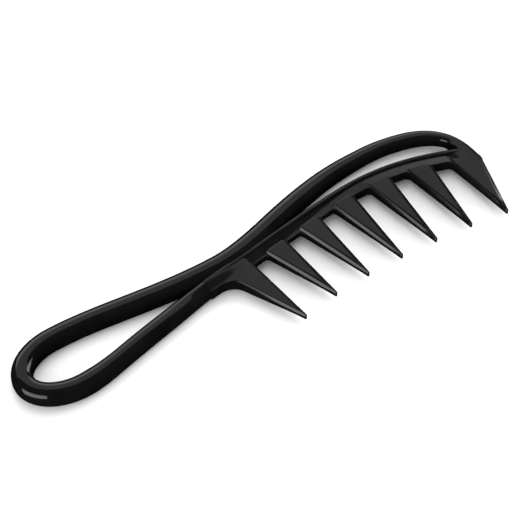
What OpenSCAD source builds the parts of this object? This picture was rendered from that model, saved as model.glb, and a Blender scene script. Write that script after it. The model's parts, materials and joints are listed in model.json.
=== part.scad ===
// Wide tooth comb with an open loop handle, lying flat on its side.
// +X runs along the comb from the handle to the nose, +Y is the back of the
// comb, the teeth point towards -Y, and Z = 0 is the surface it lies on.

/* [Overall] */
// Half of the thickest section, which is the height of the mid plane
half_thick = 4.4; // [3.6:0.1:5]
// Roundness of the handle sections: 2 is an ellipse, larger is squarer
section_power = 2.7; // [2:0.1:4]

/* [Handle loop] */
// Length of the rounded end of the loop, along X
bow_reach = 19.4; // [15:0.2:24]
// Half of the loop's width, along Y, between centre lines
bow_half = 12.8; // [11:0.2:16]
// Half width of the lower arm's section
lower_arm_half = 3.85; // [3:0.05:4.4]

/* [Back] */
// Half of the back rail's section at the nose
nose_half = 3.3; // [2.6:0.1:4]

/* [Rim and web] */
// Width of the bead that borders the crescent slot
bead_w = 2.3; // [1.8:0.1:3]
// Half height of the bead along the teeth
bead_half = 3.1; // [3:0.1:3.6]
// Distance from the bead's far edge to the free edge of the web
web_drop = 6.8; // [6.5:0.1:8]
// Thickness of the web between the teeth
web_t = 2.8; // [1.6:0.1:3.6]

/* [Teeth] */
// Distance between neighbouring teeth at their roots
root_pitch = 18.1; // [17:0.1:19]
// Distance between neighbouring teeth at their tips
tip_pitch = 16.5; // [15.5:0.1:17.5]
// Width of a tooth at its root
tooth_w = 10.2; // [8:0.1:11.5]
// Half of a tooth's thickness at its root
tooth_half = 2.9; // [2.6:0.1:3.2]
// Slope of the tooth's walls from the mid plane to its flats
draft = 0.4; // [0.2:0.1:0.5]
// Half of a tooth's thickness at its tip
tip_half = 1.6; // [1:0.1:2.4]
// Half of a tooth's width at its tip
tip_r = 0.7; // [0.6:0.1:1]
// Left side of the second tooth at its root, along X
first_left = 7.4; // [6:0.1:9]
// Distance from the bead's far edge to the top of a tooth's flat
head_drop = 5.4; // [4:0.1:6.5]

/* [Hidden] */

mid = half_thick;
SIDES = 24;
STEP = 3;
// Share of a section's height at which its narrow flat land is cut
land = 1.01;

// Centre of the loop's rounded end
bow_x = -86.5;
bow_y = 5.9;
// Turn between neighbouring sections of the rounded end
bow_turn = 4.5;
// Where the lower arm meets the first tooth, with the arm's half width and half height there
fork_x = -22;
arm_end = 3.3;
arm_rise = half_thick - 0.7;
// Lengths over which the lower arm narrows after the bow, narrows again, and gets lower
bow_blend = 20;
fork_blend = 20;
rise_blend = 38;

// Ends of the waist, where the upper arm becomes the back rail, and the end of the rail
waist_x0 = -24;
waist_x1 = 16;
nose_x = 86;
// The rail's section gets smaller from here, over this length
taper_x = 20;
taper_len = 70;

// Nose: half width of its last section, the wall beside the nose plate as a share of the
// half width, the number of sections and the section at which the slot ends
nose_end_half = 2.1;
wall_part = 0.85;
bend_steps = 14;
slot_end = 10;
// Share of the nose's last section that the last tooth covers
nose_cover = 0.95;

// Bead: its end, the length over which it gets lower, how square it is, and the share of
// its width above the web
rim_x1 = 104.4;
crest_blend = 42;
bead_power = 3.4;
bead_clear = 0.93;

// Corner between the lower arm and the first tooth, and its rounding
first_corner = [-11.6, 3.1];
first_round = 8;
// Rounding of the right corner of each tooth's head
head_round = 1.3;
// The first tooth meets the bead up to here, left of its right side, and the web runs into it
first_join = 1.8;
web_root = 2.4;
// Hubs of the fans that close the teeth's flats: left of the first tooth's right side, and
// the share of the way down each other tooth
first_hub = 5.5;
hub_share = 0.2;

// The tips lie on a shallow curve that is lowest at tips_x
first_tip = 3.2;
tips_x = 38;
tips_y = -25.4;
curve_left = 0.0028;
curve_right = 0.0014;

// Stub of the moulding gate: its place along the bend, size and turn
nub_at = 0.96;
nub_out = 0.5;
nub_len = 3.4;
nub_high = 2;
nub_turn = -2;

// The outline's centre, which the comb is moved by so that it is centred on the origin
centre = [0.15, -0.7];

// Lines along the comb, each a list of [x, y, slope]
SPINE = [
    [bow_x, bow_y + bow_half, 0], [-50, 15.1, -0.14], [-13, 12, 0], [20, 18.4, 0.28],
    [48, 24.8, 0.16], [70, 26.2, 0], [nose_x, 24.2, -0.26]
];
LOWER = [[bow_x, bow_y - bow_half, 0], [-60, -2.6, 0.21], [fork_x, 4.7, 0.18]];
RIM = [
    [fork_x, 7.9, 0.12], [10, 11.9, 0.135], [36, 15.3, 0.11], [58, 16.85, 0],
    [84, 13.4, -0.27], [rim_x1, 6.1, -0.42]
];

// The nose turns from the back rail down to the last tooth
NOSE = [[nose_x, 24.2], [98.3, 21.3], [108.4, 15.2], [108.1, -2]];

function ease(t) = let (u = min(max(t, 0), 1)) u * u * (3 - 2 * u);
function mix(a, b, t) = a + (b - a) * t;

// Cubic through two knots with their slopes
function hermite(p, q, x) =
    let (w = q[0] - p[0], t = (x - p[0]) / w)
    p[1] * (1 + 2 * t) * (1 - t) * (1 - t) + q[1] * t * t * (3 - 2 * t)
    + w * t * (1 - t) * (p[2] * (1 - t) - q[2] * t);
function line_y(knots, x, i = 0) =
    (i >= len(knots) - 2 || x <= knots[i + 1][0])
    ? hermite(knots[i], knots[i + 1], x)
    : line_y(knots, x, i + 1);
function slope(knots, x, d = 0.05) = (line_y(knots, x + d) - line_y(knots, x - d)) / (2 * d);
function bezier(p, t) =
    (1 - t) * (1 - t) * (1 - t) * p[0] + 3 * (1 - t) * (1 - t) * t * p[1]
    + 3 * (1 - t) * t * t * p[2] + t * t * t * p[3];
function unit(v) = v / norm(v);
function normal_of(v) = unit([-v[1], v[0]]);

// Closed section across a path at point c, with half sizes a (in plan) and b (up).
// A narrow flat land is left on top and underneath.
function signed_pow(v, p) = sign(v) * pow(abs(v), p);
function ring(c, across, a, b, power = section_power) = [
    for (k = [0:SIDES - 1])
    let (
        angle = 360 * (k + 0.5) / SIDES,
        u = a * signed_pow(cos(angle), 2 / power),
        v = b * max(-1, min(1, land * signed_pow(sin(angle), 2 / power)))
    )
    [c[0] + across[0] * u, c[1] + across[1] * u, mid + v]
];
function on_line(knots, x) = [x, line_y(knots, x)];
function line_ring(knots, x, a, b, power = section_power) =
    ring(on_line(knots, x), normal_of([1, slope(knots, x)]), a, b, power);
function stations(x0, x1) =
    let (n = ceil((x1 - x0) / STEP)) [for (i = [0:n]) mix(x0, x1, i / n)];

// Half sizes of the sections along the comb
function spine_half(x) = mix(half_thick, nose_half, ease((x - taper_x) / taper_len));
function arm_a(x) =
    let (wide = mix(half_thick, lower_arm_half, ease((x - bow_x) / bow_blend)))
    mix(wide, arm_end, ease(1 - (fork_x - x) / fork_blend));
function arm_b(x) = mix(half_thick, arm_rise, ease(1 - (fork_x - x) / rise_blend));
function crest_half(x) = mix(arm_rise, bead_half, ease((x - fork_x) / crest_blend));

// Solid through a list of rings that all have the same number of points, which run
// anticlockwise as seen from the last ring. Each end is one face, or a fan round its hub.
module skin(rings, hubs = []) {
    n = len(rings[0]);
    last = len(rings) - 1;
    hub = n * len(rings);
    sides = [
        for (i = [0:last - 1], k = [0:n - 1])
        let (a = i * n + k, b = i * n + (k + 1) % n)
        each [[a, b + n, b], [a, a + n, b + n]]
    ];
    plain = [[for (k = [0:n - 1]) k], [for (k = [n - 1:-1:0]) last * n + k]];
    fans = [
        for (k = [0:n - 1])
        let (a = k, b = (k + 1) % n)
        each [[a, b, hub], [last * n + b, last * n + a, hub + 1]]
    ];
    points = concat([for (r = rings) each r], hubs);
    polyhedron(points, concat(sides, len(hubs) == 0 ? plain : fans), convexity = 6);
}

module plastic() {
    color([0.07, 0.07, 0.075]) translate([-centre[0], -centre[1], 0]) children();
}

// ---- Handle ----

function bow_point(angle) = [bow_x - bow_reach * cos(angle), bow_y + bow_half * sin(angle)];
function bow_normal(angle) = unit([-bow_half * cos(angle), bow_reach * sin(angle)]);

module handle_bow() {
    plastic()
        skin([
            for (angle = [-90:bow_turn:90])
            ring(bow_point(angle), bow_normal(angle), half_thick, half_thick)
        ]);
}

module upper_arm() {
    plastic()
        skin([for (x = stations(bow_x, waist_x0)) line_ring(SPINE, x, half_thick, half_thick)]);
}

module lower_arm() {
    plastic()
        skin([for (x = stations(bow_x, fork_x)) line_ring(LOWER, x, arm_a(x), arm_b(x))]);
}

// ---- Back of the comb ----

// Where the rim and the spine grow together they meet in an upright face on RIM
function above_rim(points) = [for (p = points) [p[0], max(p[1], line_y(RIM, p[0])), p[2]]];
function below_rim(points) = [for (p = points) [p[0], min(p[1], line_y(RIM, p[0])), p[2]]];

module waist() {
    plastic()
        skin([
            for (x = stations(waist_x0, waist_x1))
            above_rim(line_ring(SPINE, x, spine_half(x), spine_half(x)))
        ]);
}

module back_rail() {
    plastic()
        skin([
            for (x = stations(waist_x1, nose_x))
            line_ring(SPINE, x, spine_half(x), spine_half(x))
        ]);
}

// Sections of the bend: their near side stops at a flat wall for the nose plate
function bend_at(t) = bezier(NOSE, t);
function bend_normal(t, d = 0.01) = normal_of(bezier(NOSE, t + d) - bezier(NOSE, t - d));
function bend_half(t) = mix(spine_half(nose_x), nose_end_half, ease(t));
function bend_rise(t) = mix(spine_half(nose_x), tooth_half, ease(t));
function bend_wall(t) = bend_at(t) - bend_normal(t) * bend_half(t) * wall_part;
function wall_side(points, c, across, limit) = [
    for (p = points)
    let (u = (p[0] - c[0]) * across[0] + (p[1] - c[1]) * across[1], d = max(0, -limit - u))
    [p[0] + across[0] * d, p[1] + across[1] * d, p[2]]
];

module nose_bend() {
    plastic()
        skin([
            for (i = [0:bend_steps])
            let (t = i / bend_steps, c = bend_at(t), across = bend_normal(t), half = bend_half(t))
            wall_side(ring(c, across, half, bend_rise(t)), c, across, half * wall_part)
        ]);
}

// ---- Rim, web and nose plate ----

function shifted(knots, dy) = [for (k = knots) [k[0], k[1] + dy, k[2]]];

module rim_bead() {
    middle = shifted(RIM, -bead_w / 2);
    plastic()
        skin([
            for (x = stations(fork_x, rim_x1))
            below_rim(line_ring(middle, x, bead_w / 2, crest_half(x), bead_power))
        ]);
}

// Upper and lower edges of the flat plate that carries the teeth
function web_top(x) = line_y(RIM, x) - bead_w * bead_clear;
function web_low(x) = line_y(RIM, x) - web_drop;
function head_top(x) = line_y(RIM, x) - head_drop;

module web_plate(t, raised = 0) {
    x0 = root_right(0) - web_root;
    x1 = root_left(6);
    translate([0, 0, mid - t / 2])
        linear_extrude(t)
            polygon([
                for (x = stations(x0, x1)) [x, web_top(x) + raised],
                for (x = stations(-x1, -x0)) [-x, web_low(-x)]
            ]);
}

module tooth_web() {
    plastic() web_plate(web_t);
}

// The plate ends against the bend, the last tooth and the end of the slot
module nose_plate() {
    x0 = root_left(6);
    plastic()
        translate([0, 0, mid - tooth_half])
            linear_extrude(2 * tooth_half)
                polygon([
                    [x0, head_top(x0)],
                    bend_wall(1),
                    for (i = [bend_steps - 1:-1:slot_end]) bend_wall(i / bend_steps),
                    [rim_x1, line_y(RIM, rim_x1)],
                    for (x = stations(-rim_x1, -x0)) [-x, web_top(-x)]
                ]);
}

// ---- Teeth ----

function root_left(i) = first_left + root_pitch * (i - 1);
function root_right(i) = root_left(i) + tooth_w;
function tip_x(i) = first_tip + tip_pitch * i;
function tip_y(i) =
    tips_y - (tip_x(i) < tips_x ? curve_left : curve_right) * pow(tip_x(i) - tips_x, 2);

// Each outline runs anticlockwise from the left of the tip
function tip_points(i) = [
    [tip_x(i) - tip_r, tip_y(i) + tip_r],
    [tip_x(i), tip_y(i)],
    [tip_x(i) + tip_r, tip_y(i) + tip_r]
];
function head_corner(i) = [
    for (g = [0:45:90])
    [
        root_right(i) + head_round * (cos(g) - 1),
        head_top(root_right(i)) + head_round * (sin(g) - 1)
    ]
];
function head_points(i) = [each head_corner(i), [root_left(i), head_top(root_left(i))]];

// The first tooth grows out of the lower arm with a rounded corner on its left
function corner_arc(p, q, r, radius) =
    let (
        a = unit(p - q),
        b = unit(r - q),
        half = acos(a * b) / 2,
        axis = unit(a + b),
        c = q + axis * radius / sin(half),
        start = atan2(-axis[1], -axis[0])
    )
    [for (k = [0:8]) let (g = start + (90 - half) * (1 - k / 4)) c + radius * [cos(g), sin(g)]];
first_start = [fork_x, line_y(LOWER, fork_x) - arm_end];
function first_head() = [
    each head_corner(0),
    for (x = stations(first_join - root_right(0), -fork_x)) [-x, web_top(-x)],
    first_start,
    each corner_arc(first_start, first_corner, tip_points(0)[0], first_round)
];

// The last tooth runs up to the nose
function last_head() = [
    bend_at(1) + bend_normal(1) * nose_end_half * nose_cover,
    bend_wall(1),
    [root_left(6), head_top(root_left(6))]
];

// Moves each corner of an outline inwards by d
function inset(pts, d) = let (n = len(pts)) [
    for (k = [0:n - 1])
    let (
        a = normal_of(pts[k] - pts[(k + n - 1) % n]),
        b = normal_of(pts[(k + 1) % n] - pts[k])
    )
    pts[k] + (a + b) * d / (1 + a * b)
];

// Both flats are planes: the half thickness falls from the head line to the tip.
// The head line runs between the left and right corners of the head.
function head_line(i) = [
    i == 0 ? first_start : [root_left(i), head_top(root_left(i))],
    i == 6 ? last_head()[0] : [root_right(i), head_top(root_right(i))]
];
function depth(p, ends) = (ends[0] - p) * normal_of(ends[1] - ends[0]);
function half_at(p, i) =
    let (ends = head_line(i), share = depth(p, ends) / depth([tip_x(i), tip_y(i)], ends))
    mix(tooth_half, tip_half, share);
function raise(p, i, s) = [p[0], p[1], mid + s * half_at(p, i)];
function level(pts, i, s) = [for (p = inset(pts, abs(s) * draft)) raise(p, i, s)];

// Point inside a tooth that sees its whole outline
function hub_at(i) =
    let (ends = head_line(i))
    i == 0
    ? [root_right(0) - first_hub, head_top(root_right(0))]
    : mix((ends[0] + ends[1]) / 2, [tip_x(i), tip_y(i)], hub_share);

module tooth_body(pts, i) {
    skin(
        [level(pts, i, -1), level(pts, i, 0), level(pts, i, 1)],
        [raise(hub_at(i), i, -1), raise(hub_at(i), i, 1)]
    );
}

module tooth(i) {
    head = i == 0 ? first_head() : i == 6 ? last_head() : head_points(i);
    plastic()
        difference() {
            tooth_body([each tip_points(i), each head], i);
            web_plate(web_t, bead_w);
        }
}

// Trimmed stub where the moulding gate was, on the outside of the nose
module gate_nub() {
    at = bend_at(nub_at) + bend_normal(nub_at) * bend_half(nub_at);
    plastic()
        translate([at[0], at[1], mid])
            rotate([0, 0, nub_turn])
                cube([nub_out * 2, nub_len, nub_high], center = true);
}

handle_bow();
upper_arm();
lower_arm();
waist();
back_rail();
nose_bend();
nose_plate();
rim_bead();
tooth_web();
tooth(0);  // tooth_1
tooth(1);  // tooth_2
tooth(2);  // tooth_3
tooth(3);  // tooth_4
tooth(4);  // tooth_5
tooth(5);  // tooth_6
tooth(6);  // tooth_7
gate_nub();
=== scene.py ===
import json
import math

import bpy
import numpy as np
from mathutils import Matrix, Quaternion, Vector

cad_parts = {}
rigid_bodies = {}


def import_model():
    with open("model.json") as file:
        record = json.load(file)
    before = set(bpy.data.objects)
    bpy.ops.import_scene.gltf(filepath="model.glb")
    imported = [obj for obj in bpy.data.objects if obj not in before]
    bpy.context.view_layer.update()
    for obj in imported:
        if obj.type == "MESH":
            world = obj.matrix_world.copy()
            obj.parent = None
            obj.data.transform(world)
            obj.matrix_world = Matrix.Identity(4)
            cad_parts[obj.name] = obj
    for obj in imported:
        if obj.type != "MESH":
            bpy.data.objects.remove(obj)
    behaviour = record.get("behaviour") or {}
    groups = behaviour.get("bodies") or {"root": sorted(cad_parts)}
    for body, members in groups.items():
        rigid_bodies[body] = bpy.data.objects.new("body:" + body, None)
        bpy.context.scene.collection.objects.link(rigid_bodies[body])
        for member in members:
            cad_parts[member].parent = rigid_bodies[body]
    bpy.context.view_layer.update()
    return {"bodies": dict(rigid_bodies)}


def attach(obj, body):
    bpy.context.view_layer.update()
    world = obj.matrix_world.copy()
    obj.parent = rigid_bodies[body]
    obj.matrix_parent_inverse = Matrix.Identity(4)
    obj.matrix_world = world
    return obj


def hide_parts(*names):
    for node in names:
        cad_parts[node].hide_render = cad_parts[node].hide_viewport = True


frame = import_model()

# Wide tooth comb with an open loop handle. Lengths are millimetres in the part's design
# frame until place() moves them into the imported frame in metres.
MM = 0.001
CENTRE = np.array([0.15, -0.7, 0.0])
STEP, LONG_STEP = 0.8, 1.0
SPARE = 2

# Half thickness of the handle, and the powers of its round and its squarer section
HALF, POWER, SQUARE_POWER = 4.4, 2.7, 4.2

# Handle loop, and lines along the comb as knots [x, y, slope]
BOW_X, BOW_Y, BOW_REACH, BOW_HALF, BOW_TURN = -86.5, 5.9, 19.4, 12.8, 1.5
FORK_X, WAIST_X0, WAIST_X1, NOSE_X, RIM_X1 = -22.0, -24.0, 16.0, 86.0, 104.4
ARM_HALF, ARM_END, ARM_RISE = 3.85, 3.3, 3.7
SPINE = [
    [BOW_X, BOW_Y + BOW_HALF, 0], [-50, 15.1, -0.14], [-13, 12, 0], [20, 18.4, 0.28],
    [48, 24.8, 0.16], [70, 26.2, 0], [NOSE_X, 24.2, -0.26],
]
LOWER = [[BOW_X, BOW_Y - BOW_HALF, 0], [-60, -2.6, 0.21], [FORK_X, 4.7, 0.18]]
RIM = [
    [FORK_X, 7.9, 0.12], [10, 11.9, 0.135], [36, 15.3, 0.11], [58, 16.85, 0],
    [84, 13.4, -0.27], [RIM_X1, 6.1, -0.42],
]

# Nose: a cubic curve, the wall on its near side as a share of its half width, and its plate
NOSE = [[NOSE_X, 24.2], [98.3, 21.3], [108.4, 15.2], [108.1, -2]]
NOSE_HALF, NOSE_END, NOSE_STEPS, NOSE_STEP = 3.3, 2.1, 56, 0.001
WALL, UNDER = 0.85, 0.2
PLATE_FROM, PLATE_PROUD, PLATE_EXTRA, PLATE_RUN, NOSE_JOIN = 10 / 14, 0.012, 0.2, 5, 0.98

# Zones as [start, length] in which a size changes along the comb
NOSE_ZONE, BOW_ZONE = (20, 70), (BOW_X, 20)
ARM_ZONE, RISE_ZONE, FLAT_ZONE = (FORK_X - 20, 20), (FORK_X - 38, 38), (FORK_X - 22, 22)
CREST_ZONE, BEAD_ZONE = (FORK_X, 42), (FORK_X, 9)
HOLLOW_ZONE, LEAN_ZONE, RAISE_ZONE = (10, 48), (40, 25), (36, 24)
# The same across the lower arm's section, along the nose and over the first tooth
NEAR_ZONE, JOIN_ZONE, FADE_ZONE = (-1, 1.6), (0.6, 0.12), (-16, 15)

# Rim bead
BEAD_W, BEAD_HALF = 2.3, 3.0
BEAD_ROUND, BEAD_CROWN, BEAD_START, BEAD_POINTS = 0.75, 0.08, 0.45, 9

# Web: its hollow under the bead as (handle end, nose end), its lean and its lower edge
WEB_DROP, WEB_HALF, WEB_LAP, WEB_TOP = 6.8, 1.4, 3, 0.6
HOLLOW_TOP, HOLLOW_REACH, HOLLOW_LIFT = 0.8, (5.0, 0.7), (1.5, 0.4)
WEB_LEAN, LEAN_LEVEL, WEB_RAISE = 0.45, 0.6, 0.85
EDGE_SHARE, EDGE_DROP = 0.06, 0.25
ROOT_FILLET, FINE_REACH, LEAST_STEP = 1.1, 1.2, 0.02

# Teeth: their roots, heads and tips
TEETH, TOOTH_W, TOOTH_HALF, TIP_HALF, SPREAD = 7, 10.2, 2.9, 1.6, 0.45
ROOT_PITCH, TIP_PITCH, FIRST_LEFT, FIRST_TIP = 18.1, 16.5, 7.4, 3.2
HEAD_DROP, HEAD_ROUND, HEAD_RADIUS = 5.4, 0.3, 1.5
TIPS_X, TIPS_Y, TIPS_LEFT, TIPS_RIGHT = 38, -25.4, 0.0028, 0.0014
TIP_R, TIP_TURN, TIP_ROUND, TIP_EDGE, TAPER_POWER = 0.68, (-6, 78), 1.3, 0.45, 1.3

# Bevels: run across and rise up as (head, tip), and the most that each may take of a tooth
RUN, RISE, RUN_START, RUN_GROWTH = (0.85, 1.25), (1.4, 1.25), 0.12, 12
RIGHT_RUN, RIGHT_RISE = 1.3, 0.5
MOST_RUN, MOST_RISE, FULL_RUN = 0.42, 0.62, 0.6
CORNER, MOST_CORNER, LIP, MOST_LIP, LIP_STEPS = 0.3, 0.35, 0.65, 0.45, 6

# First tooth: the arc from the lower arm, its shoulder at the web and its blend into the rim
ELBOW, ELBOW_RADIUS = (-12.1, 2.95), 8.0
JOIN_BACK, SHOULDER_OUT, SHOULDER_UP, SHOULDER_DROP, SHOULDER_END = 1.6, 0.4, 0.9, 0.2, 2.2
BLEND_DROP, BLEND_RUN, BLEND_LEAST, TAPER_LIFT = 6.5, 5.28, 0.35, 1.0

# Trimmed gate: place along the nose, half sizes, and its levels with their sizes
NUB_AT, NUB_X, NUB_Y, NUB_POWER, NUB_SIDES = 0.99, 0.5, 1.7, 8, 24
NUB_LEVELS = ((-1.0, 0.88), (-0.85, 1.0), (0.85, 1.0), (1.0, 0.88))

# Degrees above which an edge stays sharp
WEB_CREASE, PLATE_CREASE, TOOTH_CREASE = 50, 40, 32

# Noise scales of the plastic per metre, the depth of its relief in metres, and the gap below
# the comb that keeps the floor from touching it
MOTTLE, MARKS, SKIN, GRAIN, GRAIN_DEPTH, FLOOR_GAP = 90, 700, 160, 220, 0.0002, 0.00002

BODY = next(iter(frame["bodies"]))


def ease(t):
    u = np.clip(t, 0.0, 1.0)
    return u * u * (3 - 2 * u)


def mix(a, b, t):
    return a + (b - a) * t


def change(x, zone, a, b):
    """Goes smoothly from a to b over a zone of x."""
    start, length = zone
    return mix(a, b, ease((x - start) / length))


def round_off(t):
    """Fall of a rounded edge: 1 at the edge, where t is 0, and none from t = 1 on."""
    return 1 - np.sqrt(1 - (1 - np.clip(t, 0, 1)) ** 2)


def line(knots, xs):
    """Height of a line at xs: cubics through its knots with their slopes, straight on past the ends."""
    k = np.array(knots, float)
    xs = np.asarray(xs, float)
    x = np.clip(xs, k[0, 0], k[-1, 0])
    i = np.clip(np.searchsorted(k[:, 0], x, side="right") - 1, 0, len(k) - 2)
    p, q = k[i], k[i + 1]
    w = q[..., 0] - p[..., 0]
    t = (x - p[..., 0]) / w
    y = (
        p[..., 1] * (1 + 2 * t) * (1 - t) ** 2
        + q[..., 1] * t * t * (3 - 2 * t)
        + w * t * (1 - t) * (p[..., 2] * (1 - t) - q[..., 2] * t)
    )
    end_slope = np.where(xs < k[0, 0], k[0, 2], k[-1, 2])
    return y + (xs - x) * end_slope


def bezier(points, t):
    p = np.array(points, float)
    t = np.asarray(t, float)[..., None]
    u = 1 - t
    return u**3 * p[0] + 3 * u * u * t * p[1] + 3 * u * t * t * p[2] + t**3 * p[3]


def left_of(directions):
    """Unit vectors to the left of plan directions."""
    n = np.stack([-directions[..., 1], directions[..., 0]], axis=-1)
    return n / np.linalg.norm(n, axis=-1, keepdims=True)


def normals_along(path):
    return left_of(np.gradient(path, axis=0))


def root_left(i):
    return FIRST_LEFT + ROOT_PITCH * (i - 1)


def root_right(i):
    return root_left(i) + TOOTH_W


def spine_half(x):
    return change(x, NOSE_ZONE, HALF, NOSE_HALF)


def arm_half(x):
    return change(x, ARM_ZONE, change(x, BOW_ZONE, HALF, ARM_HALF), ARM_END)


def arm_rise(x):
    return change(x, RISE_ZONE, HALF, ARM_RISE)


def crest_half(x):
    return change(x, CREST_ZONE, ARM_RISE, BEAD_HALF)


# ---- Meshes ----


def place(points):
    return (np.asarray(points, float) - CENTRE) * MM


def grid_normals(rings):
    """Outward normals of a tube of rings, from its neighbours along and around it."""
    along = np.gradient(rings, axis=0)
    around = np.roll(rings, -1, axis=1) - np.roll(rings, 1, axis=1)
    n = np.cross(along, around)
    n /= np.maximum(np.linalg.norm(n, axis=2, keepdims=True), 1e-12)
    outward = rings - rings.mean(axis=1, keepdims=True)
    return n if (n * outward).sum() > 0 else -n


def loft(node, rings, material, spare=0, crease=None):
    """Closed piece through rings. The spare rings at each end only steer the shading.
    With a crease angle, edges sharper than it stay sharp and level faces keep their own shading."""
    normals = grid_normals(rings)
    stop = len(rings) - spare
    rings, normals = rings[spare:stop], normals[spare:stop]
    count, sides = rings.shape[:2]
    index = np.arange(count * sides).reshape(count, sides)
    here, beside = index[:-1], np.roll(index[:-1], -1, axis=1)
    above, beside_above = index[1:], np.roll(index[1:], -1, axis=1)
    quads = np.stack([here, beside, beside_above, above], axis=2).reshape(-1, 4)
    faces = quads.tolist() + [index[0, ::-1].tolist(), index[-1].tolist()]
    points = place(rings.reshape(-1, 3))
    mesh = bpy.data.meshes.new(node + "_moulding")
    mesh.from_pydata(points.tolist(), [], faces)
    volume = sum(p.center.dot(p.normal) * p.area for p in mesh.polygons)
    if volume < 0:
        mesh.flip_normals()
    for polygon in mesh.polygons:
        polygon.use_smooth = True
    mesh.materials.append(material)
    piece = bpy.data.objects.new(mesh.name, mesh)
    bpy.context.scene.collection.objects.link(piece)
    if crease is None:
        flat = normals.reshape(-1, 3)
        split = [
            p.normal if len(p.vertices) > 4 else Vector(flat[v])
            for p in mesh.polygons
            for v in p.vertices
        ]
        mesh.normals_split_custom_set(split)
    else:
        mesh.set_sharp_from_angle(angle=math.radians(crease))
        weighted = piece.modifiers.new("level_faces", "WEIGHTED_NORMAL")
        weighted.keep_sharp = True
    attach(piece, BODY)
    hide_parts(node)
    return piece


def oval(power=POWER, sides=72):
    """Superellipse of half sizes 1: the plan share and the height share of each point round it."""
    angle = 2 * np.pi * (np.arange(sides) + 0.5) / sides
    u = np.sign(np.cos(angle)) * np.abs(np.cos(angle)) ** (2 / power)
    v = np.sign(np.sin(angle)) * np.abs(np.sin(angle)) ** (2 / power)
    return u, v


def sweep(path, across, a, b, section):
    """Sections across a path: half sizes a in plan and b upwards."""
    u, v = section
    wide = np.broadcast_to(a, len(path))[:, None] * u
    high = np.broadcast_to(b, len(path))[:, None] * v
    plan = path[:, None, :] + across[:, None, :] * wide[..., None]
    return np.concatenate([plan, (HALF + high)[..., None]], axis=2)


def stations(x0, x1, step):
    """Even stations with spare ones past each end."""
    n = max(1, math.ceil((x1 - x0) / step))
    return x0 + (x1 - x0) * np.arange(-SPARE, n + 1 + SPARE) / n


def line_path(knots, xs):
    path = np.stack([xs, line(knots, xs)], axis=1)
    return path, normals_along(path)


# ---- Handle ----


def make_bow(material):
    turns = round(180 / BOW_TURN)
    angle = np.radians(90 - BOW_TURN * np.arange(-SPARE, turns + 1 + SPARE))
    inside = np.abs(angle) <= np.pi / 2
    x = BOW_X - BOW_REACH * np.cos(angle)
    y = BOW_Y + BOW_HALF * np.sin(angle)
    upper, lower = ~inside & (angle > 0), ~inside & (angle < 0)
    run = BOW_REACH * (np.abs(angle) - np.pi / 2)
    x = np.where(inside, x, BOW_X + run)
    y = np.where(upper, line(SPINE, x), np.where(lower, line(LOWER, x), y))
    path = np.stack([x, y], axis=1)
    rings = sweep(path, normals_along(path), HALF, HALF, oval())
    loft("handle_bow", rings, material, spare=SPARE)


def make_upper_arm(material):
    path, across = line_path(SPINE, stations(BOW_X, WAIST_X0, LONG_STEP))
    loft("upper_arm", sweep(path, across, HALF, HALF, oval()), material, spare=SPARE)


def make_lower_arm(material):
    """Round at the bow, then squarer and lower on its near side to meet the first tooth."""
    xs = stations(BOW_X, FORK_X, STEP)
    path, across = line_path(LOWER, xs)
    round_u, round_v = oval()
    square_u, square_v = oval(SQUARE_POWER)
    flatten = change(xs, FLAT_ZONE, 0, 1)[:, None]
    u, v = mix(round_u, square_u, flatten), mix(round_v, square_v, flatten)
    near = change(u, NEAR_ZONE, TOOTH_HALF / ARM_RISE, 1)
    rings = sweep(path, across, arm_half(xs), arm_rise(xs), (u, v * mix(1, near, flatten)))
    loft("lower_arm", rings, material, spare=SPARE)


# ---- Back of the comb ----


def make_spine(node, x0, x1, material):
    xs = stations(x0, x1, STEP)
    path, across = line_path(SPINE, xs)
    half = spine_half(xs)
    loft(node, sweep(path, across, half, half, oval()), material, spare=SPARE)


def nose_half(t):
    return mix(spine_half(NOSE_X), NOSE_END, ease(t))


def make_nose_bend(material):
    """Round where it borders the slot, then its near side runs level into the nose plate."""
    t = np.arange(-SPARE, NOSE_STEPS + 1 + SPARE) / NOSE_STEPS
    path = bezier(NOSE, t)
    rise = mix(spine_half(NOSE_X), TOOTH_HALF, ease(t))
    u, v = oval()
    wall_v = (1 - WALL**POWER) ** (1 / POWER)
    level = (TOOTH_HALF / rise)[:, None]
    shelf = np.sign(v) * mix(1, level, ease(-u / WALL))
    face = level * v / wall_v
    joined_v = np.where(u >= 0, v, np.where(u >= -WALL, shelf, face))
    joined_u = np.where(u >= -WALL, u * (1 + UNDER * ease(-u / WALL)), -WALL * (1 + UNDER))
    joined = change(t, JOIN_ZONE, 0, 1)[:, None]
    section = (mix(u, joined_u, joined), mix(v, joined_v, joined))
    rings = sweep(path, normals_along(path), nose_half(t), rise, section)
    loft("nose_bend", rings, material, spare=SPARE)


# ---- Rim, web and nose plate ----


def make_rim_bead(material):
    """Bar with rounded corners and faintly crowned faces, sunk a little where it starts."""
    xs = stations(FORK_X, RIM_X1, STEP)
    path, across = line_path(RIM, xs)
    wide = BEAD_W / 2
    path = path - across * wide
    high = (crest_half(xs) - change(xs, BEAD_ZONE, BEAD_START, 0))[:, None]
    turns = [np.linspace(start, start + 90, BEAD_POINTS) for start in (0, 90, 180, 270)]
    angle = np.radians(np.concatenate(turns))
    side = np.repeat([[1, 1], [-1, 1], [-1, -1], [1, -1]], BEAD_POINTS, axis=0)
    u = side[:, 0] * (wide - BEAD_ROUND) + BEAD_ROUND * np.cos(angle)
    v = side[:, 1] * (high - BEAD_ROUND) + BEAD_ROUND * np.sin(angle)
    v = v - np.sign(v) * BEAD_CROWN * (u / wide) ** 2
    loft("rim_bead", sweep(path, across, 1.0, 1.0, (u, v)), material, spare=SPARE)


def head_top(x):
    return line(RIM, x) - HEAD_DROP


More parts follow.
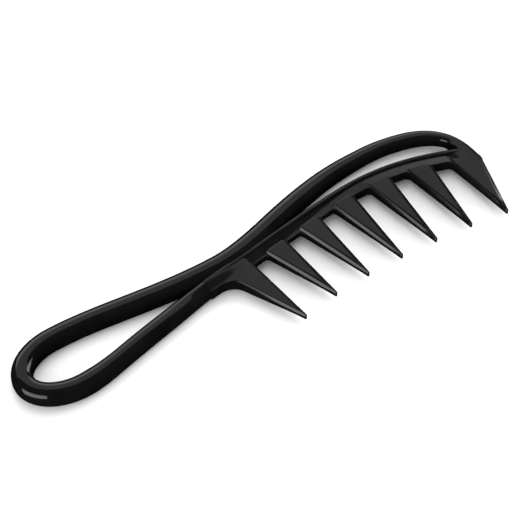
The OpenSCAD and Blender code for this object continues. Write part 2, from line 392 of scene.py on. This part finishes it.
def web_stations():
    """Stations along the web, closer together in the fillet at each tooth's left side."""
    x0, x1 = root_right(0) - WEB_LAP, root_left(TEETH - 1)
    fine = [root_left(i) - np.linspace(0, FINE_REACH, 9) for i in range(TEETH)]
    xs = np.unique(np.concatenate([np.arange(x0, x1, LONG_STEP), [x1]] + fine))
    xs = xs[(xs >= x0) & (xs <= x1)]
    return xs[np.concatenate([[True], np.diff(xs) > LEAST_STEP])]


def both_faces(plan, half):
    """Rings of a plate from plan points and their half thickness."""
    top = np.concatenate([plan, (HALF + half)[..., None]], axis=2)
    bottom = np.concatenate([plan, (HALF - half)[..., None]], axis=2)
    return np.concatenate([top, bottom[:, ::-1]], axis=1)


def make_tooth_web(material):
    """Strip with hollow faces below the bead, the hollow widest near the handle."""
    xs = web_stations()
    ahead = np.array([root_left(i) for i in range(1, TEETH)]) - xs[:, None]
    gap = np.where(ahead >= 0, ahead, np.inf).min(axis=1)
    bottom = WEB_DROP + ROOT_FILLET * round_off(gap / ROOT_FILLET)
    top = BEAD_W * WEB_TOP
    share = np.concatenate([np.linspace(0, 0.9, 16), [0.94, 0.97, 0.985, 1.0]])
    depth = top + (bottom - top)[:, None] * share
    reach = change(xs, HOLLOW_ZONE, *HOLLOW_REACH)[:, None]
    lift = change(xs, HOLLOW_ZONE, *HOLLOW_LIFT)[:, None]
    near_bead = np.maximum(0, 1 - (depth - BEAD_W * HOLLOW_TOP) / reach)
    lean = change(xs, LEAN_ZONE, 0, WEB_LEAN)[:, None]
    raised = change(xs, RAISE_ZONE, 0, WEB_RAISE)[:, None]
    half = WEB_HALF + raised + lift * near_bead**2 + lean * (depth / WEB_DROP - LEAN_LEVEL)
    half = half - EDGE_DROP * round_off((1 - share) / EDGE_SHARE)
    y = line(RIM, xs)[:, None] - depth
    plan = np.stack([np.broadcast_to(xs[:, None], y.shape), y], axis=2)
    loft("tooth_web", both_faces(plan, half), material, crease=WEB_CREASE)


def make_nose_plate(material):
    """Level plate between the bead, the bend and the last tooth."""
    x0 = root_left(TEETH - 1)
    t = np.linspace(PLATE_FROM, 1, 16)
    across = left_of(bezier(NOSE, t + NOSE_STEP) - bezier(NOSE, t - NOSE_STEP))
    right = bezier(NOSE, t) - across * (nose_half(t) * WALL)[:, None]
    xs = np.linspace(RIM_X1, x0, 12)
    under = np.stack([xs, line(RIM, xs) - BEAD_W / 2], axis=1)
    side = mix(under[-1], np.array([x0, float(head_top(x0))]), np.linspace(0, 1, 5)[1:, None])
    left = np.concatenate([under, side])
    share = np.linspace(0, 1, 12)[None, :, None]
    plan = right[:, None, :] * share + left[:, None, :] * (1 - share)
    half = PLATE_PROUD + change(plan[..., 0], (x0, PLATE_RUN), WEB_HALF + PLATE_EXTRA, TOOTH_HALF)
    loft("nose_plate", both_faces(plan, half), material, crease=PLATE_CREASE)


# ---- Teeth ----


def corner(a, b, c, cut, steps):
    """Points that round the corner b between a and c, for arrays of corners."""
    to_a = (a - b) / np.maximum(1e-9, np.linalg.norm(a - b, axis=1, keepdims=True))
    to_c = (c - b) / np.maximum(1e-9, np.linalg.norm(c - b, axis=1, keepdims=True))
    start, stop = b + to_a * cut[:, None], b + to_c * cut[:, None]
    return [
        (1 - t) ** 2 * start + 2 * t * (1 - t) * b + t * t * stop
        for t in np.linspace(0, 1, steps)
    ]


def bevel_side(run, rise, width, h, middle):
    """Section of a tooth from the foot of one wall, up the bevel and on to the middle."""
    zero = np.zeros_like(width)
    foot = np.stack([zero, zero], axis=1)
    shoulder = np.stack([zero, h - rise], axis=1)
    lip = np.stack([run, h], axis=1)
    least = np.minimum(run, rise)
    room, lip_room = np.minimum(CORNER, MOST_CORNER * least), np.minimum(LIP, MOST_LIP * least)
    side = [foot] + corner(foot, shoulder, lip, room, 4)
    side += corner(shoulder, lip, middle, lip_room, LIP_STEPS)
    return side + [mix(side[-1], middle, t) for t in (0.3, 0.7)]


def blade(node, left, right, height, run_left, run_right, rise, material):
    """Plate between two edges with a bevel along each: height(x, y) is its half thickness.
    The right bevel is wider and lower than the left one."""
    width = np.linalg.norm(right - left, axis=1)
    h = height((left[:, 0] + right[:, 0]) / 2, (left[:, 1] + right[:, 1]) / 2)
    rise = np.minimum(rise, MOST_RISE * h)
    middle = np.stack([width / 2, h], axis=1)

    def side(run, part):
        run = np.minimum(run, MOST_RUN * width)
        return bevel_side(run, rise * (np.minimum(1, run / FULL_RUN) * part), width, h, middle)

    left_side, right_side = side(run_left, 1.0), side(run_right * RIGHT_RUN, RIGHT_RISE)
    upper = left_side + [middle] + [
        np.stack([width - p[:, 0], p[:, 1]], axis=1) for p in right_side[::-1]
    ]
    lower = [p * [1, -1] for p in upper[-2:0:-1]]
    loop = np.stack(upper + lower, axis=1)
    share = (loop[..., 0] / width[:, None])[..., None]
    plan = left[:, None, :] * (1 - share) + right[:, None, :] * share
    real = height(plan[..., 0], plan[..., 1])
    z = HALF + loop[..., 1] * real / h[:, None]
    loft(node, np.concatenate([plan, z[..., None]], axis=2), material, crease=TOOTH_CREASE)


def tip_point(i):
    """The tips lie on a shallow bow, steeper on its handle side."""
    x = FIRST_TIP + TIP_PITCH * i
    bow = TIPS_LEFT if x < TIPS_X else TIPS_RIGHT
    return np.array([x, TIPS_Y - bow * (x - TIPS_X) ** 2])


def tip_rows(i, count=9):
    centre = tip_point(i) + [0, TIP_R]
    angle = np.radians(np.linspace(*TIP_TURN, count))
    left = centre + TIP_R * np.stack([-np.cos(angle), -np.sin(angle)], axis=1)
    right = centre + TIP_R * np.stack([np.cos(angle), -np.sin(angle)], axis=1)
    return left, right


def taper(i, head_a, head_b):
    """Half thickness of a tooth: it falls from the line head_a-head_b to the tip."""
    down = -left_of(head_b - head_a)
    length = (tip_point(i) - head_a) @ down

    def height(x, y):
        d = ((x - head_a[0]) * down[0] + (y - head_a[1]) * down[1]) / length
        d = np.clip(d, 0, 1)
        base = mix(TOOTH_HALF, TIP_HALF, d**TAPER_POWER)
        return base * mix(1, TIP_EDGE, round_off(length * (1 - d) / TIP_ROUND))

    return height


def bevel_sizes(rows, haste=1.1):
    """Run and rise of the bevels at each row from head to tip."""
    travel = np.linspace(0, 1, rows)
    return mix(*RUN, ease(travel * haste)), mix(*RISE, travel)


def make_tooth(i, material):
    rl, rr = root_left(i) - SPREAD, root_right(i)
    a, b = np.array([rl, head_top(rl)]), np.array([rr, head_top(rr)])
    turn = np.radians(np.linspace(90, 0, 8))
    round_head = HEAD_RADIUS * np.stack([np.cos(turn) - 1, np.sin(turn) - 1], axis=1)
    right_head = b + round_head
    left_tip, right_tip = tip_rows(i)
    left_dir = (left_tip[0] - a) / np.linalg.norm(left_tip[0] - a)
    left_head = a - left_dir * round_head[:, 1:]
    share = np.linspace(0, 1, 26)[1:-1, None]
    left = np.concatenate([left_head, mix(left_head[-1], left_tip[0], share), left_tip])
    right = np.concatenate([right_head, mix(right_head[-1], right_tip[0], share), right_tip])
    # More rows make the rounded top edge of the head
    rows = np.array([0.12, 0.3, 0.6])[:, None]
    left = np.insert(left, 1, mix(left[0], left[1], rows), axis=0)
    right = np.insert(right, 1, mix(right[0], right[1], rows), axis=0)
    taper_of = taper(i, a, b)
    down = -left_of(b - a)

    def height(x, y):
        d = (x - a[0]) * down[0] + (y - a[1]) * down[1]
        return taper_of(x, y) - HEAD_ROUND * round_off(d / HEAD_ROUND)

    run, rise = bevel_sizes(len(left))
    blade(f"tooth_{i + 1}", left, right, height, run, run, rise, material)


def fork_arc(start, stop):
    """Arc that rounds the elbow between the lower arm's near side and the first tooth."""
    elbow = np.array(ELBOW)
    u = (start - elbow) / np.linalg.norm(start - elbow)
    v = (stop - elbow) / np.linalg.norm(stop - elbow)
    half = math.acos(u @ v) / 2
    centre = elbow + (u + v) / np.linalg.norm(u + v) * ELBOW_RADIUS / math.sin(half)
    reach = ELBOW_RADIUS / math.tan(half)
    first = math.atan2(*(elbow + u * reach - centre)[::-1])
    last = math.atan2(*(elbow + v * reach - centre)[::-1])
    bend = np.linspace(first, last, 14)
    return centre + ELBOW_RADIUS * np.stack([np.cos(bend), np.sin(bend)], axis=1)


def rim_blend(x, y):
    """Share of the rim's height that the plate of the first tooth takes up towards the rim."""
    return change(y, (line(RIM, x) - BLEND_DROP, BLEND_RUN), 0, 1)


def make_first_tooth(material):
    left_tip, right_tip = tip_rows(0)
    start = np.array([FORK_X, float(line(LOWER, FORK_X) - ARM_END)])
    stop = left_tip[0]
    arc = fork_arc(start, stop)
    # Left edge: down the joint with the lower arm, along it, round the elbow, down the tooth
    top = np.array([FORK_X, line(RIM, FORK_X) - BEAD_W / 2])
    joint = mix(top, start, np.linspace(0, 1, 8)[:, None])
    shelf = mix(start, arc[0], np.linspace(0, 1, 5)[1:-1, None])
    blade_left = mix(arc[-1], stop, np.linspace(0, 1, 24)[1:-1, None])
    left = np.concatenate([joint, shelf, arc, blade_left, left_tip])
    # Right edge: along the bead, round the head's corner, down the tooth
    rr = root_right(0) + SPREAD
    head = np.array([rr, float(head_top(rr))])
    join_x = rr - JOIN_BACK
    shoulder = [
        [join_x, line(RIM, join_x) - BEAD_W / 2],
        [join_x + SHOULDER_OUT, head[1] + SHOULDER_UP],
        [rr, head[1] - SHOULDER_DROP],
        [rr, head[1] - SHOULDER_END],
    ]
    right_head = bezier(shoulder, np.linspace(0, 1, len(joint) + len(shelf)))
    share = np.linspace(0, 1, len(arc) + len(blade_left) + 2)[1:-1, None]
    right = np.concatenate([right_head, mix(right_head[-1], right_tip[0], share), right_tip])
    taper_of = taper(0, start + [0, TAPER_LIFT], head)

    def height(x, y):
        grown = (crest_half(x) - TOOTH_HALF) * rim_blend(x, y)
        return taper_of(x, y) + grown * change(x, FADE_ZONE, 1, BLEND_LEAST)

    run, rise = bevel_sizes(len(left), haste=1.0)
    run_left = change(np.arange(len(left)), (len(joint), RUN_GROWTH), RUN_START, run)
    blade("tooth_1", left, right, height, run_left, run, rise, material)


def make_last_tooth(material):
    """The last tooth runs on from the nose, so its head is a line to the bend's end."""
    i = TEETH - 1
    rl = root_left(i) - SPREAD
    a = np.array([rl, float(head_top(rl))])
    end, before = bezier(NOSE, [1.0, 1 - NOSE_STEP])
    b = end + left_of(end - before) * NOSE_END * NOSE_JOIN
    left_tip, right_tip = tip_rows(i)
    share = np.linspace(0, 1, 34)[:-1, None]
    left = np.concatenate([mix(a, left_tip[0], share), left_tip])
    right = np.concatenate([mix(b, right_tip[0], share), right_tip])
    run, rise = bevel_sizes(len(left))
    blade("tooth_7", left, right, taper(i, a, b), run, run, rise, material)


def make_gate_nub(material):
    centre = bezier(NOSE, [NUB_AT])[0] + [nose_half(NUB_AT), 0]
    u, v = oval(NUB_POWER, NUB_SIDES)
    shape = np.stack([NUB_X * u, NUB_Y * v], axis=1)
    rings = np.stack([
        np.column_stack([centre + shape * size, np.full(NUB_SIDES, HALF + level)])
        for level, size in NUB_LEVELS
    ])
    loft("gate_nub", rings, material)


# ---- Materials ----


def plastic(name, colour, rough, bump, scratch):
    """Moulded plastic: faint flow mottling, a slightly uneven skin and fine handling marks."""
    mat = bpy.data.materials.new(name)
    mat.use_nodes = True
    tree = mat.node_tree
    nodes, links = tree.nodes, tree.links
    shader = nodes["Principled BSDF"]
    shader.inputs["IOR"].default_value = 1.49
    place_in = nodes.new("ShaderNodeTexCoord")

    def noise(scale, detail, stretch=(1, 1, 1)):
        mapping = nodes.new("ShaderNodeMapping")
        mapping.inputs["Scale"].default_value = stretch
        links.new(place_in.outputs["Object"], mapping.inputs["Vector"])
        tex = nodes.new("ShaderNodeTexNoise")
        tex.inputs["Scale"].default_value = scale
        tex.inputs["Detail"].default_value = detail
        links.new(mapping.outputs["Vector"], tex.inputs["Vector"])
        return tex.outputs["Fac"]

    def ramp(source, low, high, out_low, out_high):
        node = nodes.new("ShaderNodeMapRange")
        node.inputs["From Min"].default_value = low
        node.inputs["From Max"].default_value = high
        node.inputs["To Min"].default_value = out_low
        node.inputs["To Max"].default_value = out_high
        links.new(source, node.inputs["Value"])
        return node.outputs["Result"]

    tint = nodes.new("ShaderNodeMix")
    tint.data_type = "RGBA"
    tint.inputs["A"].default_value = (*[c * 0.8 for c in colour], 1)
    tint.inputs["B"].default_value = (*[c * 1.25 for c in colour], 1)
    links.new(ramp(noise(MOTTLE, 3), 0.35, 0.65, 0, 1), tint.inputs["Factor"])
    links.new(tint.outputs["Result"], shader.inputs["Base Color"])

    marks = ramp(noise(MARKS, 2, (0.25, 2.5, 1)), 0.58, 0.72, 0, scratch)
    skin = ramp(noise(SKIN, 4), 0.3, 0.7, rough * 0.85, rough * 1.15)
    total = nodes.new("ShaderNodeMath")
    total.operation = "ADD"
    links.new(marks, total.inputs[0])
    links.new(skin, total.inputs[1])
    links.new(total.outputs[0], shader.inputs["Roughness"])

    relief = nodes.new("ShaderNodeBump")
    relief.inputs["Strength"].default_value = bump
    relief.inputs["Distance"].default_value = GRAIN_DEPTH
    links.new(noise(GRAIN, 3), relief.inputs["Height"])
    links.new(relief.outputs["Normal"], shader.inputs["Normal"])
    return mat


gloss = plastic("gloss_black", (0.004, 0.004, 0.0043), 0.07, 0.02, 0.03)
satin = plastic("satin_black", (0.005, 0.005, 0.0056), 0.13, 0.03, 0.04)
trimmed = plastic("trimmed_black", (0.02, 0.02, 0.021), 0.5, 0.5, 0.15)

make_bow(gloss)
make_upper_arm(gloss)
make_lower_arm(gloss)
make_spine("waist", WAIST_X0, WAIST_X1, gloss)
make_spine("back_rail", WAIST_X1, NOSE_X, gloss)
make_nose_bend(gloss)
make_rim_bead(gloss)
make_tooth_web(satin)
make_nose_plate(satin)
make_first_tooth(satin)
for index in range(1, TEETH - 1):
    make_tooth(index, satin)
make_last_tooth(satin)
make_gate_nub(trimmed)


# ---- Stage ----


def floor():
    """Pale matt floor. The gloss doesn't mirror it, so the teeth keep their dark walls."""
    bpy.ops.mesh.primitive_plane_add(size=6, location=(0, 0, -FLOOR_GAP))
    plane = bpy.context.object
    plane.name = "floor"
    mat = bpy.data.materials.new("pale_floor")
    mat.use_nodes = True
    shader = mat.node_tree.nodes["Principled BSDF"]
    shader.inputs["Base Color"].default_value = (0.86, 0.86, 0.865, 1)
    shader.inputs["Roughness"].default_value = 0.9
    shader.inputs["Specular IOR Level"].default_value = 0.1
    plane.data.materials.append(mat)
    plane.visible_glossy = False


def card(name, azimuth, elevation, distance, width, height, radiance, seen=True, roll=0):
    """Rectangular light at a direction from the comb; radiance 1 is the white of the picture.
    The gloss mirrors it when it is seen."""
    az, el = math.radians(azimuth), math.radians(elevation)
    data = bpy.data.lights.new(name, "AREA")
    data.shape = "RECTANGLE"
    data.size, data.size_y = width, height
    data.energy = radiance * math.pi * width * height
    lamp = bpy.data.objects.new(name, data)
    bpy.context.scene.collection.objects.link(lamp)
    direction = Vector((math.cos(el) * math.cos(az), math.cos(el) * math.sin(az), math.sin(el)))
    lamp.location = direction * distance
    turn = Quaternion(direction, math.radians(roll))
    lamp.rotation_euler = (turn @ direction.to_track_quat("Z", "Y")).to_euler()
    lamp.visible_glossy = seen


def world(level):
    """Even white light from all sides, which the gloss doesn't mirror either."""
    w = bpy.data.worlds.new("studio")
    bpy.context.scene.world = w
    w.use_nodes = True
    background = w.node_tree.nodes["Background"]
    background.inputs["Color"].default_value = (1, 1, 1, 1)
    background.inputs["Strength"].default_value = level
    w.cycles_visibility.glossy = False


def camera():
    """Looks down at the comb from the side of its first teeth."""
    az, el, reach = math.radians(-34), math.radians(53), 0.95
    right = Vector((math.cos(az), math.sin(az), 0))
    back = Vector((math.sin(az) * math.cos(el), -math.cos(az) * math.cos(el), math.sin(el)))
    target = (Vector((4.1, 4.8, HALF)) - Vector(CENTRE)) * MM
    data = bpy.data.cameras.new("camera")
    data.sensor_width = 36
    data.lens = 161.8
    cam = bpy.data.objects.new("camera", data)
    bpy.context.scene.collection.objects.link(cam)
    cam.location = target + back * reach
    cam.rotation_euler = back.to_track_quat("Z", "Y").to_euler()
    bpy.context.scene.camera = cam


floor()
world(0.75)
card("key", 62, 66, 1.3, 1.0, 1.0, 2.4, seen=False)
card("left_box", 197, 19, 1.0, 0.95, 0.85, 3.3, roll=14)
card("far_low", 72, 32, 1.4, 1.5, 0.62, 1.7)
card("far_high", 60, 54, 1.4, 1.9, 0.42, 0.6)
card("right_box", 2, 34, 1.4, 0.8, 0.8, 3.4)
camera()

bpy.context.scene.view_settings.view_transform = "Standard"
